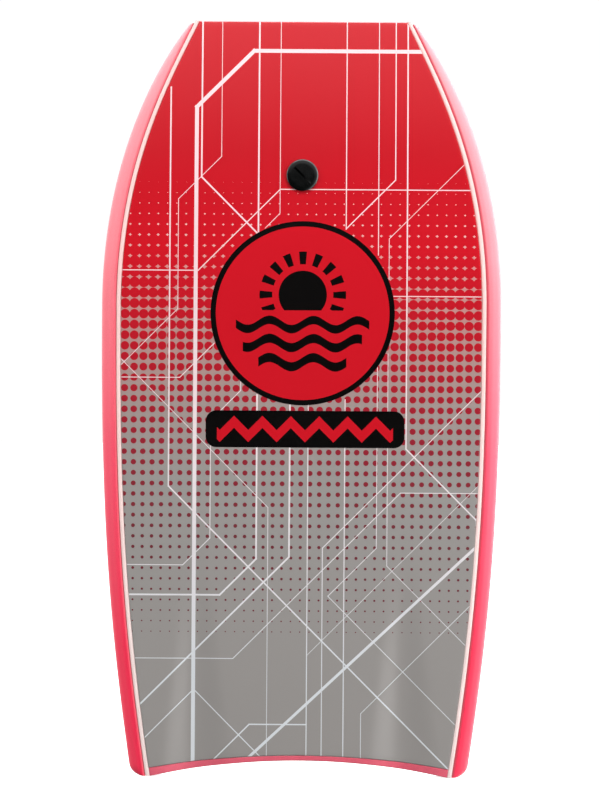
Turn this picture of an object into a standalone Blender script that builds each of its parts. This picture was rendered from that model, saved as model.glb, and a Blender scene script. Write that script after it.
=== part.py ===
"""A bodyboard standing on its tail tips.

X runs across the board and Z from the tail tips up to the nose. The printed slick faces -Y and the deck
faces +Y. Each laminated layer is its own solid. A leash plug goes through the board on its centre line: a cup
on the deck side, and a coin-slotted cap that unscrews from the slick side.
"""

import math

import bmesh
import bpy
from mathutils import Matrix, Vector

GAP = 0.0003  # between pieces that touch

# Overall sizes
LENGTH = 1.067
WIDEST_HALF = 0.2818
MID_THICKNESS = 0.052
TAIL_THINNER_BY = 0.006
NOSE_THINNER_BY = 0.014
FLAT_DECK = (0.300, 0.560)  # heights between which the thickness is even
NOSE_LIFT = 0.038  # how far the slick's nose end bends towards the deck
NOSE_BEND_FROM = 0.662
NOSE_BEND_POWER = 2.2

# Rail line: one Bezier from the nose corner to the widest point, and one from there to the tail corner
NOSE_HALF = 0.158
TAIL_HALF = 0.2392
WIDEST_AT = 0.663
NOSE_HANDLE = (0.0353, 0.0436)
WIDEST_HANDLE_UP = 0.223
WIDEST_HANDLE_DOWN = 0.241
TAIL_HANDLE = (0.0362, 0.240)
NOSE_CORNER_RADIUS = 0.007
TAIL_CORNER_RADIUS = 0.017

# Side laminate outside the print, measured inwards from the rail line
EDGE = 0.0275
EDGE_AT_NOSE = 0.0116
EDGE_GROWS_OVER = 0.050

# Tail
TAIL_HOLLOW = 0.0229
TAIL_TIP_HALF = 0.210
TAIL_STRIP_AT_CENTRE = 0.0073
TAIL_STRIP_AT_TIPS = 0.0118
NOSE_STRIP = 0.0060
NOSE_STRIP_SHOWS = 0.0010

# Layers, from the slick to the deck
SLICK_SHEET = 0.0010
SLICK_BACKING = 0.0030
DECK_SKIN = 0.0050
PINSTRIPE = 0.0060
PINSTRIPE_BELOW_SLICK = 0.0005

# Rail section
RAIL_SEAM_DEPTH = 0.0022
RAIL_CREST_IN = 0.0032
RAIL_CREST_DEPTH = 0.0007
RAIL_APEX_SHARE = 0.42
RAIL_BULGE = 0.0036
RAIL_TOP_LEAN = 0.0040
RAIL_LEAST_SHARE = 0.3  # where the rail is narrow, each feature keeps to this share of its width
RAIL_ENDS_SHORT = 0.0035  # of the nose, where the rail has tapered away
CORNER_STEPS = 5
DECK_INSET = 0.0125  # from the rail line to the deck skin's edge
DECK_CORNER = 0.015  # how far the deck skin's tail corners are cut back
CHINE_FROM = 0.034  # from the rail line to where the deck's bevel starts
CHINE_DROP = 0.006  # at the deck skin's edge

# Slick channels
CHANNEL_AT = 0.146
CHANNEL_DEPTH = 0.0070
CHANNEL_LENGTH = 0.360
CHANNEL_HALF_AT_TAIL = 0.058
CHANNEL_HALF_AT_FRONT = 0.012
CHANNEL_CLEARANCE = 0.004  # from the channels to the deck bevel's line

# Leash plug. Heights are measured out of the slick, along the plug's own axis.
PLUG_HEIGHT = 0.848
CAP_RADIUS = 0.0225
CAP_THICKNESS = 0.0024
CAP_EDGE = 0.0008
SLOT_WIDTH = 0.0026
SLOT_LENGTH = 0.033
SLOT_DEPTH = 0.0013
SLOT_TURN = -45  # degrees from the board's width
STUD_RADIUS = 0.0060
STUD_STOPS_SHORT = 0.0030  # of the bottom of the barrel's bore
STUD_CLEARANCE = 0.0003
BARREL_RADIUS = 0.0085
BARREL_STOPS_SHORT = 0.0020
BORE_CLEARANCE = 0.0005
GASKET_THICKNESS = 0.0010
GASKET_RADIUS = 0.0190
CUP_RADIUS = 0.0160
CUP_WALL = 0.0035
CUP_DEPTH = 0.0230
CUP_FLOOR = 0.0030
FLANGE_RADIUS = 0.0230
FLANGE_THICKNESS = 0.0026
FLANGE_PROUD = 0.0008
SEAT_CLEARANCE = 0.0006
BAR_RADIUS = 0.0020
BAR_DEPTH = 0.0095  # from the flange's face to the bar's centre
BAR_INTO_WALL = 0.0020
BAR_CLEARANCE = 0.0003

ROWS = 26
ROW_CLEARANCE = 0.004
END_STEPS = 8
SIDES = 32
BEZIER_STEPS = 40
SHARP_OVER = 30  # degrees between faces that meet in an edge
SLOPE_STEP = 0.001
CUTTER_OVERRUN = 0.020

# puts the origin midway through the thickness
BACK_OF_SLICK = -(NOSE_LIFT + MID_THICKNESS - NOSE_THINNER_BY) / 2


def material(name, colour, roughness, metallic=0.0):
    made = bpy.data.materials.new(name)
    made.use_nodes = True
    shader = made.node_tree.nodes["Principled BSDF"]
    shader.inputs["Base Color"].default_value = (*colour, 1.0)
    shader.inputs["Roughness"].default_value = roughness
    shader.inputs["Metallic"].default_value = metallic
    return made


def mesh_of(name, made):
    mesh = bpy.data.meshes.new(name)
    made.to_mesh(mesh)
    made.free()
    return mesh


def add_object(name, mesh, finish, parent=None):
    mesh.materials.append(finish)
    made = bpy.data.objects.new(name, mesh)
    made.parent = parent
    bpy.context.collection.objects.link(made)
    return made


def bezier(points, t):
    a, b, c, d = points
    s = 1.0 - t
    return tuple(s**3 * a[i] + 3 * s * s * t * b[i] + 3 * s * t * t * c[i] + t**3 * d[i] for i in range(2))


def rail_line_points():
    """(half width, height) along the rail line, from the tail corner up to the nose corner."""
    lower = (
        (TAIL_HALF, TAIL_CORNER_RADIUS),
        (TAIL_HALF + TAIL_HANDLE[0], TAIL_CORNER_RADIUS + TAIL_HANDLE[1]),
        (WIDEST_HALF, WIDEST_AT - WIDEST_HANDLE_DOWN),
        (WIDEST_HALF, WIDEST_AT),
    )
    upper = (
        (WIDEST_HALF, WIDEST_AT),
        (WIDEST_HALF, WIDEST_AT + WIDEST_HANDLE_UP),
        (NOSE_HALF + NOSE_HANDLE[0], LENGTH - NOSE_HANDLE[1]),
        (NOSE_HALF, LENGTH),
    )
    steps = [i / BEZIER_STEPS for i in range(BEZIER_STEPS + 1)]
    return [bezier(lower, t) for t in steps] + [bezier(upper, t) for t in steps[1:]]


RAIL_LINE = rail_line_points()


def rail_line(z):
    """Half width at a height, before the corners are rounded."""
    for (x_low, z_low), (x_high, z_high) in zip(RAIL_LINE, RAIL_LINE[1:]):
        if z <= z_high:
            return x_low + (x_high - x_low) * (z - z_low) / (z_high - z_low)
    return NOSE_HALF


def corner(radius, from_end):
    """How far a rounded corner draws the rail line in, at a distance from the board's end."""
    reach = max(0.0, radius - from_end)
    return radius - math.sqrt(radius**2 - reach**2)


def half_width(z):
    """Half width at a height, with rounded corners."""
    return rail_line(z) - corner(TAIL_CORNER_RADIUS, z) - corner(NOSE_CORNER_RADIUS, LENGTH - z)


def smooth(t):
    t = min(1.0, max(0.0, t))
    return t * t * (3.0 - 2.0 * t)


def print_edge(z):
    """Half width of the print, the slick and the core."""
    grown = 1.0 - math.exp(-(LENGTH - z) / EDGE_GROWS_OVER)
    return rail_line(z) - EDGE_AT_NOSE - (EDGE - EDGE_AT_NOSE) * grown


def deck_edge(z):
    """Half width of the deck skin."""
    return rail_line(z) - DECK_INSET


def tail_edge(x):
    """Height of the hollowed tail edge."""
    return max(0.0, TAIL_HOLLOW * (1.0 - (x / TAIL_TIP_HALF) ** 2))


def tail_strip_top(x):
    share = min(1.0, (x / TAIL_TIP_HALF) ** 2)
    return tail_edge(x) + TAIL_STRIP_AT_CENTRE + (TAIL_STRIP_AT_TIPS - TAIL_STRIP_AT_CENTRE) * share


def deck_foot(x):
    """Height of the deck skin's tail edge, cut back at the corners."""
    past = smooth((abs(x) - TAIL_TIP_HALF) / (deck_edge(0.0) - TAIL_TIP_HALF))
    return tail_edge(x) + GAP + DECK_CORNER * past


def nose_bend(z):
    past = max(0.0, z - NOSE_BEND_FROM) / (LENGTH - NOSE_BEND_FROM)
    return NOSE_LIFT * past**NOSE_BEND_POWER


def channel_half(z):
    share = min(1.0, max(0.0, z) / CHANNEL_LENGTH)
    half = CHANNEL_HALF_AT_TAIL + (CHANNEL_HALF_AT_FRONT - CHANNEL_HALF_AT_TAIL) * share
    return min(half, rail_line(z) - CHINE_FROM - CHANNEL_CLEARANCE - CHANNEL_AT)


def channel(x, z):
    """Depth of the two channels in the slick."""
    across = abs(abs(x) - CHANNEL_AT) / channel_half(z)
    if z >= CHANNEL_LENGTH or across >= 1.0:
        return 0.0
    return CHANNEL_DEPTH * smooth(1.0 - z / CHANNEL_LENGTH) * 0.5 * (1.0 + math.cos(math.pi * across))


def slick_y(x, z):
    return BACK_OF_SLICK + nose_bend(z) + channel(x, z)


def thickness(z):
    below = max(0.0, FLAT_DECK[0] - z) / FLAT_DECK[0]
    above = max(0.0, z - FLAT_DECK[1]) / (LENGTH - FLAT_DECK[1])
    return MID_THICKNESS - TAIL_THINNER_BY * below**2 - NOSE_THINNER_BY * above**2


def deck_y(x, z):
    """The deck's surface, with its bevelled long edges."""
    from_rail = rail_line(z) - abs(x)
    bevel = max(0.0, (CHINE_FROM - from_rail) / (CHINE_FROM - DECK_INSET))
    return BACK_OF_SLICK + nose_bend(z) + thickness(z) - CHINE_DROP * bevel


def under_deck_skin(x, z):
    return deck_y(x, z) - DECK_SKIN - GAP


def rows(low, high):
    """The heights that every layer is cut at, closer together near both ends."""
    heights = [LENGTH * (1.0 - math.cos(math.pi * i / ROWS)) / 2 for i in range(ROWS + 1)]
    return [z for z in heights if low + ROW_CLEARANCE < z < high - ROW_CLEARANCE]


def columns(z, edge):
    """Positions across the board, on the channels' and the deck bevel's own lines."""
    level = min(z, CHANNEL_LENGTH)
    squeeze = print_edge(z) / print_edge(level)
    half = channel_half(level)
    lines = [(CHANNEL_AT + half * k / 2) * squeeze for k in (-2, -1, 0, 1, 2)]
    lines += [rail_line(z) - CHINE_FROM, edge]
    return [-x for x in reversed(lines)] + [0.0] + lines


def plate(name, finish, edge, low, high, front, back):
    """A closed layer: edge(z) is its half width, low(x) and high(x) its ends, front and back its faces' y."""

    def end_row(end):
        """The end's points, each on its own line where that line meets the end."""
        points = []
        for k in range(len(columns(0.0, edge(0.0)))):
            x = 0.0
            for _ in range(END_STEPS):
                x = columns(end(x), edge(end(x)))[k]
            points.append((x, end(x)))
        return points

    middle = rows(max(low(0.0), low(TAIL_HALF)), min(high(0.0), high(TAIL_HALF)))
    grid = [end_row(low)] + [[(x, z) for x in columns(z, edge(z))] for z in middle] + [end_row(high)]
    made = bmesh.new()
    sides = [[[made.verts.new((x, side(x, z), z)) for x, z in row] for row in grid] for side in (front, back)]
    last = len(grid[0]) - 1
    for (f, g), (p, q) in zip(zip(sides[0], sides[0][1:]), zip(sides[1], sides[1][1:])):
        for k in range(last):
            made.faces.new((f[k], f[k + 1], g[k + 1], g[k]))
            made.faces.new((p[k], q[k], q[k + 1], p[k + 1]))
        made.faces.new((f[0], g[0], q[0], p[0]))
        made.faces.new((f[last], p[last], q[last], g[last]))
    for k in range(last):
        f, p = sides[0][0], sides[1][0]
        made.faces.new((f[k], p[k], p[k + 1], f[k + 1]))
        f, p = sides[0][-1], sides[1][-1]
        made.faces.new((f[k], f[k + 1], p[k + 1], p[k]))
    bmesh.ops.triangulate(made, faces=made.faces[:])
    return add_object(name, mesh_of(name, made), finish)


def loft(name, finish, sections):
    """A closed solid through sections, which are equal-length rings of points."""
    made = bmesh.new()
    rings = [[made.verts.new(p) for p in section] for section in sections]
    for lower, upper in zip(rings, rings[1:]):
        for k in range(len(lower)):
            n = (k + 1) % len(lower)
            made.faces.new((lower[k], lower[n], upper[n], upper[k]))
    made.faces.new(rings[0][::-1])
    made.faces.new(rings[-1])
    bmesh.ops.triangulate(made, faces=made.faces[:])
    bmesh.ops.recalc_face_normals(made, faces=made.faces[:])
    return add_object(name, mesh_of(name, made), finish)


def pinstripe(name, side, finish):
    sections = []
    for z in [0.0] + rows(0.0, LENGTH) + [LENGTH]:
        inner = print_edge(z) + GAP
        outer = inner + PINSTRIPE
        y = slick_y(0.0, z) + PINSTRIPE_BELOW_SLICK
        ring = [(inner, y), (outer, y + PINSTRIPE_BELOW_SLICK), (outer, under_deck_skin(outer, z))]
        ring.append((inner, under_deck_skin(inner, z)))
        sections.append([(side * x, y, z) for x, y in ring])
    return loft(name, finish, sections)


def rail_section(z):
    """(x, y) points round the right rail at a height, starting at its seam with the white strip."""
    inner = print_edge(z) + PINSTRIPE + 2 * GAP
    outer = half_width(z)
    width = outer - inner
    front = slick_y(0.0, z)
    apex = front + RAIL_APEX_SHARE * thickness(z)
    crest = inner + min(RAIL_CREST_IN, RAIL_LEAST_SHARE * width)
    shoulder = max(inner + RAIL_LEAST_SHARE * width, min(deck_edge(z), outer - RAIL_LEAST_SHARE * width))
    bulge = min(RAIL_BULGE, RAIL_LEAST_SHARE * width)
    lean = min(RAIL_TOP_LEAN, RAIL_LEAST_SHARE * width)
    return [
        (inner, front + RAIL_SEAM_DEPTH),
        (crest, front + RAIL_CREST_DEPTH),
        ((crest + outer) / 2 + bulge, (front + RAIL_CREST_DEPTH + apex) / 2 - bulge),
        (outer, apex),
        (outer - lean, (apex + under_deck_skin(outer, z)) / 2),
        (shoulder, under_deck_skin(shoulder, z)),
        (inner, under_deck_skin(inner, z)),
    ]


def rail(name, side, finish):
    turns = [math.radians(90 * i / CORNER_STEPS) for i in range(CORNER_STEPS)]
    heights = [TAIL_CORNER_RADIUS * (1.0 - math.sin(math.pi / 2 - a)) for a in turns]
    nose_end = LENGTH - RAIL_ENDS_SHORT
    heights += rows(heights[-1], nose_end) + [nose_end]
    return loft(name, finish, [[(side * x, y, z) for x, y in rail_section(z)] for z in heights])


def turned(name, profile, finish, parent, hidden=False):
    """A closed turned solid. profile is a ring of (radius, height) points, anticlockwise."""
    made = bmesh.new()
    rings = []
    for radius, height in profile:
        if radius == 0.0:
            rings.append([made.verts.new((0.0, 0.0, height))])
            continue
        angles = [math.tau * k / SIDES for k in range(SIDES)]
        rings.append([made.verts.new((radius * math.cos(a), radius * math.sin(a), height)) for a in angles])
    for lower, upper in zip(rings, rings[1:] + rings[:1]):
        for k in range(SIDES):
            n = (k + 1) % SIDES
            ring = [lower[k % len(lower)], lower[n % len(lower)]]
            ring += [upper[n % len(upper)], upper[k % len(upper)]]
            ring = list(dict.fromkeys(ring))
            if len(ring) > 2:
                made.faces.new(ring)
    bmesh.ops.recalc_face_normals(made, faces=made.faces[:])
    mesh = mesh_of(name, made)
    mesh.shade_smooth()
    mesh.set_sharp_from_angle(angle=math.radians(SHARP_OVER))
    result = add_object(name, mesh, finish, parent)
    hide(result, hidden)
    return result


def hide(cutter, hidden=True):
    cutter.hide_render = hidden
    cutter.display_type = "WIRE" if hidden else "TEXTURED"


def cut(target, cutter):
    modifier = target.modifiers.new(cutter.name, "BOOLEAN")
    modifier.object = cutter
    modifier.operation = "DIFFERENCE"
    modifier.solver = "EXACT"


def box(name, size, centre, finish, parent, turn=None):
    made = bmesh.new()
    bmesh.ops.create_cube(made, size=1.0)
    bmesh.ops.scale(made, vec=size, verts=made.verts)
    result = add_object(name, mesh_of(name, made), finish, parent)
    result.location = centre
    result.rotation_euler = turn or (0.0, 0.0, 0.0)
    return result


def rod(name, radius, length, centre, finish, parent):
    """A rod along the parent's X."""
    made = bmesh.new()
    turn = Matrix.Rotation(math.radians(90), 4, "Y")
    sides = SIDES // 2
    bmesh.ops.create_cone(
        made, cap_ends=True, segments=sides, radius1=radius, radius2=radius, depth=length, matrix=turn
    )
    mesh = mesh_of(name, made)
    mesh.shade_smooth()
    mesh.set_sharp_from_angle(angle=math.radians(SHARP_OVER))
    result = add_object(name, mesh, finish, parent)
    result.location = centre
    return result


def plug_axis():
    """An empty on the slick at the plug: its Z points straight out of the slick, its X across the board."""
    above = slick_y(0.0, PLUG_HEIGHT + SLOPE_STEP)
    below = slick_y(0.0, PLUG_HEIGHT - SLOPE_STEP)
    rise = (above - below) / (2 * SLOPE_STEP)
    outward = Vector((0.0, -1.0, rise)).normalized()
    across = Vector((1.0, 0.0, 0.0))
    empty = bpy.data.objects.new("plug_axis", None)
    turn = Matrix((across, outward.cross(across), outward)).transposed().to_4x4()
    empty.matrix_world = Matrix.Translation((0.0, slick_y(0.0, PLUG_HEIGHT), PLUG_HEIGHT)) @ turn
    bpy.context.collection.objects.link(empty)
    return empty


def leash_plug(axis, plastic, steel, rubber):
    """The plug's pieces. Returns the cutters for the layers it goes through."""
    deck = -thickness(PLUG_HEIGHT)  # the deck's face
    face = deck - FLANGE_PROUD
    seat = face + FLANGE_THICKNESS + GASKET_THICKNESS + 2 * GAP
    cup_floor = face + CUP_DEPTH
    barrel_top = -SLICK_SHEET - BARREL_STOPS_SHORT
    bore = STUD_RADIUS + STUD_CLEARANCE
    cup_inner = CUP_RADIUS - CUP_WALL

    cap_low = GASKET_THICKNESS + 2 * GAP
    cap_high = cap_low + CAP_THICKNESS
    stud_end = cup_floor + CUP_FLOOR + STUD_STOPS_SHORT
    profile = [(0.0, stud_end), (STUD_RADIUS, stud_end), (STUD_RADIUS, cap_low), (CAP_RADIUS, cap_low)]
    profile += [(CAP_RADIUS, cap_high - CAP_EDGE), (CAP_RADIUS - CAP_EDGE, cap_high), (0.0, cap_high)]
    cap = turned("plug_cap", profile, plastic, axis)
    slot_size = (SLOT_LENGTH, SLOT_WIDTH, 2 * SLOT_DEPTH)
    slot_turn = (0.0, 0.0, math.radians(SLOT_TURN))
    slot = box("slot_cutter", slot_size, (0.0, 0.0, cap_high), plastic, axis, slot_turn)
    hide(slot)
    cut(cap, slot)

    hole = STUD_RADIUS + BORE_CLEARANCE
    ring = [(hole, GAP), (GASKET_RADIUS, GAP), (GASKET_RADIUS, GAP + GASKET_THICKNESS)]
    turned("cap_gasket", ring + [(hole, GAP + GASKET_THICKNESS)], rubber, axis)

    profile = [(cup_inner, face), (cup_inner, cup_floor), (0.0, cup_floor), (0.0, cup_floor + CUP_FLOOR)]
    profile += [(bore, cup_floor + CUP_FLOOR), (bore, barrel_top), (BARREL_RADIUS, barrel_top)]
    profile += [(BARREL_RADIUS, cup_floor + CUP_FLOOR), (CUP_RADIUS, cup_floor + CUP_FLOOR)]
    profile += [(CUP_RADIUS, face + FLANGE_THICKNESS), (FLANGE_RADIUS, face + FLANGE_THICKNESS)]
    profile += [(FLANGE_RADIUS, face + CAP_EDGE), (FLANGE_RADIUS - CAP_EDGE, face)]
    body = turned("plug_body", profile, plastic, axis)
    bar_at = (0.0, 0.0, face + BAR_DEPTH)
    bar_length = 2 * (cup_inner + BAR_INTO_WALL)
    rod("leash_bar", BAR_RADIUS, bar_length, bar_at, steel, axis)
    notch = rod("bar_cutter", BAR_RADIUS + BAR_CLEARANCE, bar_length + 2 * BAR_CLEARANCE, bar_at, steel, axis)
    hide(notch)
    cut(body, notch)

    low = face + FLANGE_THICKNESS + GAP
    inner = CUP_RADIUS + BORE_CLEARANCE
    ring = [(inner, low), (FLANGE_RADIUS, low), (FLANGE_RADIUS, low + GASKET_THICKNESS)]
    turned("flange_gasket", ring + [(inner, low + GASKET_THICKNESS)], rubber, axis)

    through = BARREL_RADIUS + BORE_CLEARANCE
    cup_bore = CUP_RADIUS + BORE_CLEARANCE
    seat_bore = FLANGE_RADIUS + SEAT_CLEARANCE
    pocket = cup_floor + CUP_FLOOR + BORE_CLEARANCE
    outside = face - CUTTER_OVERRUN
    profile = [(0.0, outside), (seat_bore, outside), (seat_bore, seat), (cup_bore, seat), (cup_bore, pocket)]
    profile += [(through, pocket), (through, CUTTER_OVERRUN), (0.0, CUTTER_OVERRUN)]
    return turned("plug_cutter", profile, plastic, axis, hidden=True)


def build():
    for old in list(bpy.data.objects):
        bpy.data.objects.remove(old)
    white_bead = material("white bead foam", (0.86, 0.86, 0.84), 0.85)
    slick_print = material("printed slick", (0.70, 0.02, 0.03), 0.28)
    white_foam = material("white foam", (0.85, 0.80, 0.80), 0.6)
    coral_foam = material("coral foam", (0.86, 0.09, 0.14), 0.55)
    red_foam = material("red foam", (0.70, 0.06, 0.10), 0.55)
    charcoal_foam = material("charcoal foam", (0.04, 0.04, 0.045), 0.7)
    black_plastic = material("black plastic", (0.010, 0.012, 0.012), 0.35)
    steel = material("stainless steel", (0.6, 0.6, 0.6), 0.25, 1.0)
    rubber = material("black rubber", (0.015, 0.015, 0.015), 0.7)

    below_sheet = SLICK_SHEET + GAP
    below_backing = below_sheet + SLICK_BACKING + GAP

    def offset(depth):
        return lambda x, z: slick_y(x, z) + depth

    def at(height):
        return lambda x: height

    def layer_foot(x):
        return tail_strip_top(x) + GAP

    def inside_deck(x, z):
        return deck_y(x, z) - DECK_SKIN

    slick_end = at(LENGTH - NOSE_STRIP_SHOWS)
    core_end = at(LENGTH - NOSE_STRIP - GAP)
    backing_front = offset(below_sheet)
    backing_back = offset(below_sheet + SLICK_BACKING)
    core_front = offset(below_backing)
    strip_front = offset(PINSTRIPE_BELOW_SLICK)
    nose_foot = at(LENGTH - NOSE_STRIP)
    nose_end = at(LENGTH)
    layers = [
        plate("slick_sheet", slick_print, print_edge, layer_foot, slick_end, slick_y, offset(SLICK_SHEET)),
        plate("slick_backing", white_foam, print_edge, layer_foot, slick_end, backing_front, backing_back),
        plate("core", white_bead, print_edge, layer_foot, core_end, core_front, under_deck_skin),
        plate("deck_skin", charcoal_foam, deck_edge, deck_foot, nose_end, inside_deck, deck_y),
    ]
    plate("tail_strip", red_foam, print_edge, tail_edge, tail_strip_top, strip_front, under_deck_skin)
    plate("nose_strip", coral_foam, print_edge, nose_foot, nose_end, core_front, under_deck_skin)
    for side, word in ((-1, "left"), (1, "right")):
        pinstripe(f"pinstripe_{word}", side, white_foam)
        rail(f"rail_{word}", side, coral_foam)
    plug_hole = leash_plug(plug_axis(), black_plastic, steel, rubber)
    for layer in layers:
        cut(layer, plug_hole)


build()
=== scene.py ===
"""The looks of a bodyboard standing on its tail tips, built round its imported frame.

X runs across the board and Z from the tail tips up to the nose. The printed slick faces -Y and the deck
faces +Y. The outline, the rocker and the leash plug repeat the frame's own formulas and sizes at a finer
step, and every piece stands for one node of the frame.
"""

import math

import bmesh
import bpy
from mathutils import Matrix, Vector


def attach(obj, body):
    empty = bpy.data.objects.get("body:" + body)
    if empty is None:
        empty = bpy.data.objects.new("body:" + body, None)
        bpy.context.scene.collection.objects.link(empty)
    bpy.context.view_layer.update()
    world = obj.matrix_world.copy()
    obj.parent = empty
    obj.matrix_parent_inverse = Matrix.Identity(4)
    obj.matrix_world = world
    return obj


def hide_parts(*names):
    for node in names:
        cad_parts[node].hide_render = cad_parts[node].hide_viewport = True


MM = 0.001
GAP = 0.3 * MM  # between pieces that touch

# Overall sizes, as the frame has them
LENGTH = 1.067
WIDEST_HALF = 0.2818
MID_THICKNESS = 0.052
TAIL_THINNER_BY = 0.006
NOSE_THINNER_BY = 0.014
FLAT_DECK = (0.300, 0.560)
NOSE_LIFT = 0.038
NOSE_BEND_FROM = 0.662
NOSE_BEND_POWER = 2.2
BACK_OF_SLICK = -(NOSE_LIFT + MID_THICKNESS - NOSE_THINNER_BY) / 2

# Rail line
NOSE_HALF = 0.158
TAIL_HALF = 0.2392
WIDEST_AT = 0.663
NOSE_HANDLE = (0.0353, 0.0436)
WIDEST_HANDLE_UP = 0.223
WIDEST_HANDLE_DOWN = 0.241
TAIL_HANDLE = (0.0362, 0.240)
NOSE_CORNER_RADIUS = 0.007
TAIL_CORNER_RADIUS = 0.017
BEZIER_STEPS = 200

# Side laminate
EDGE = 0.0275
EDGE_AT_NOSE = 0.0116
EDGE_GROWS_OVER = 0.050

# Tail and nose
TAIL_HOLLOW = 0.0229
TAIL_TIP_HALF = 0.210
TAIL_STRIP_AT_CENTRE = 0.0073
TAIL_STRIP_AT_TIPS = 0.0118
NOSE_STRIP = 0.0060
NOSE_STRIP_SHOWS = 0.0010

# Layers
SLICK_SHEET = 0.0010
SLICK_BACKING = 0.0030
DECK_SKIN = 0.0050
PINSTRIPE = 0.0060
PINSTRIPE_BELOW_SLICK = 0.0005
DECK_INSET = 0.0125
DECK_CORNER = 0.015
CHINE_FROM = 0.034
CHINE_DROP = 0.006
CHINE_EASE = 0.25  # how gently the bevel starts
PINSTRIPE_CROWN = 0.00025
PINSTRIPE_INNER_DROP = 0.00035

# Rail section
RAIL_SEAM_DEPTH = 0.0022
RAIL_CREST_IN = 0.0032
RAIL_CREST_DEPTH = 0.0007
RAIL_APEX_SHARE = 0.42
RAIL_TOP_LEAN = 0.0040
RAIL_LEAST_SHARE = 0.3
RAIL_ENDS_SHORT = 0.0035
RAIL_ROUNDED_AWAY = 0.0002  # how far rounding draws the apex in
RAIL_ROUND = (22, 42, 60, 76)  # degrees round from its crest to its apex

# Slick channels
CHANNEL_AT = 0.146
CHANNEL_DEPTH = 0.0070
CHANNEL_LENGTH = 0.360
CHANNEL_HALF_AT_TAIL = 0.058
CHANNEL_HALF_AT_FRONT = 0.012
CHANNEL_CLEARANCE = 0.004

# Leash plug, measured out of the slick along the plug's own axis
PLUG_HEIGHT = 0.848
CAP_RADIUS = 0.0225
CAP_TOP = 0.0040
CAP_FOOT = 0.0004
CAP_RIM_DROP = 0.0013
CAP_CROWN = ((0.0016, 0.0005), (0.0060, 0.0001))  # in from the rim, and down from the top
CAP_RECESS_OVER = 0.0004  # of the gasket's seat, past the gasket
SLOT_WIDTH = 0.0026
SLOT_LENGTH = 0.033
SLOT_DEPTH = 0.0013
SLOT_END_DEPTH = 0.45  # of its depth
SLOT_LEAST_SHARE = 0.02  # of its width
SLOT_TURN = -45
STUD_RADIUS = 0.0060
BARREL_RADIUS = 0.0085
BARREL_STOPS_SHORT = 0.0020
BORE_CLEARANCE = 0.0005
GASKET_THICKNESS = 0.0010
GASKET_RADIUS = 0.0190
CUP_RADIUS = 0.0160
CUP_WALL = 0.0035
CUP_DEPTH = 0.0230
CUP_FLOOR = 0.0030
FLANGE_RADIUS = 0.0230
FLANGE_THICKNESS = 0.0026
FLANGE_PROUD = 0.0008
STUD_STOPS_SHORT = 0.0030
STUD_CLEARANCE = 0.0003
SEAT_CLEARANCE = 0.0006
BAR_RADIUS = 0.0020
BAR_DEPTH = 0.0095
BAR_INTO_WALL = 0.0020
BAR_CLEARANCE = 0.0003
THREAD_PITCH = 0.0030
THREAD_HEIGHT = 0.0007
MOULDED_EDGE = 0.0003

# Print, in millimetres. Each line is its width and its points
STROKES = [
    (5.4, [(170, 1024.5), (-69, 1024.5), (-149.3, 944.2), (-149.3, 10)]),
    (2.2, [(-142, 1070), (-142, 845), (-63, 766)]),
    (0.9, [(-114, 1070), (-114, 874), (-174.3, 813.7), (-174.3, 658.7), (-265, 568)]),
    (2.2, [(-61.5, 1070), (-61.5, 768)]),
    (2.4, [(-61.8, 538), (-61.8, 307), (-112.8, 256), (-260, 256)]),
    (0.9, [(-31.2, 1070), (-31.2, 794), (-52, 773)]),
    (1.4, [(265, 828), (-31, 828), (-146, 713), (-270, 713)]),
    (2.0, [(-186, 972), (-186, 409), (218, 5)]),
    (0.9, [(-254, 588), (-45.5, 379.5), (-45.5, 10)]),
    (1.2, [(-265, 562), (-171, 562), (-122.6, 610.4)]),
    (1.1, [(-85, 558), (-85, 544), (-127, 502), (-127, 336), (-165, 298), (-260, 298)]),
    (2.3, [(-15.4, 526), (-15.4, 310), (-240, 85.4)]),
    (1.4, [(10.3, 524), (10.3, 10)]),
    (1.4, [(62.2, 1070), (62.2, 772)]),
    (1.4, [(62.2, 532), (62.2, 10)]),
    (1.2, [(107.8, 1070), (107.8, 736)]),
    (1.0, [(107.5, 578), (107.5, 323), (39.6, 255.1), (240, 54.7)]),
    (1.5, [(131.5, 1070), (131.5, 842), (62.2, 772.7)]),
    (1.9, [(148.4, 1070), (148.4, 463), (265, 346.4)]),
    (0.9, [(245, 881), (123, 759), (123, 702)]),
    (0.9, [(122.4, 597), (122.4, 298), (245, 175.4)]),
    (1.3, [(130, 678), (265, 678)]),
    (1.2, [(265, 556.2), (31.6, 322.8), (31.6, 10)]),
    (1.1, [(265, 401), (141, 401), (-93.5, 166.5), (-245, 166.5)]),
    (0.7, [(257, 418), (11, 172)]),
    (3.9, [(262, 338.6), (-78, 20.5)]),
    (0.9, [(245, 247.9), (87, 89.9), (87, 10)]),
    (1.4, [(-235, 36.5), (-148.7, 122.8), (-45, 19.1)]),
    (1.8, [(-129, 15), (-70, 74), (10.4, 74)]),
]
STROKE_END = 0.42  # of its width, past its last point
DOT_COLUMN = 13.1
DOT_ROW = 14.9
DOT_FIRST = (0.4, 547.0)
DOTS_FROM = 197.0
DOT_RADIUS_AT_FOOT = 0.8
DOT_GROWS = 0.01213  # of height
DOT_GROWS_MORE_FROM = 547.0
DOT_GROWS_MORE = 0.0042
BADGE_AT = (1.6, 653.4)
BADGE_RADIUS = 129.8
BADGE_RING = 7.5
SUN_RISE = 26.0
SUN_RADIUS = 34.0
SUN_RAYS = 16
SUN_RAYS_THINNER = 0.1
SUN_RAYS_MIDDLE = 52.0
SUN_RAYS_HALF = 9.0
WATERLINE = 4.0
WAVE_LENGTH = 62.0
WAVE_HEIGHT = 6.5
WAVES = ((-16.0, 6.0, 94.0), (-42.0, 6.5, 84.0), (-69.0, 6.5, 62.0))  # level, half thickness, half length
BANNER_AT = (6.0, 490.0)
BANNER_HALF = (140.0, 26.0)
BANNER_CORNER = 15.0
ZIGZAG_RISE = 20.0
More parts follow.
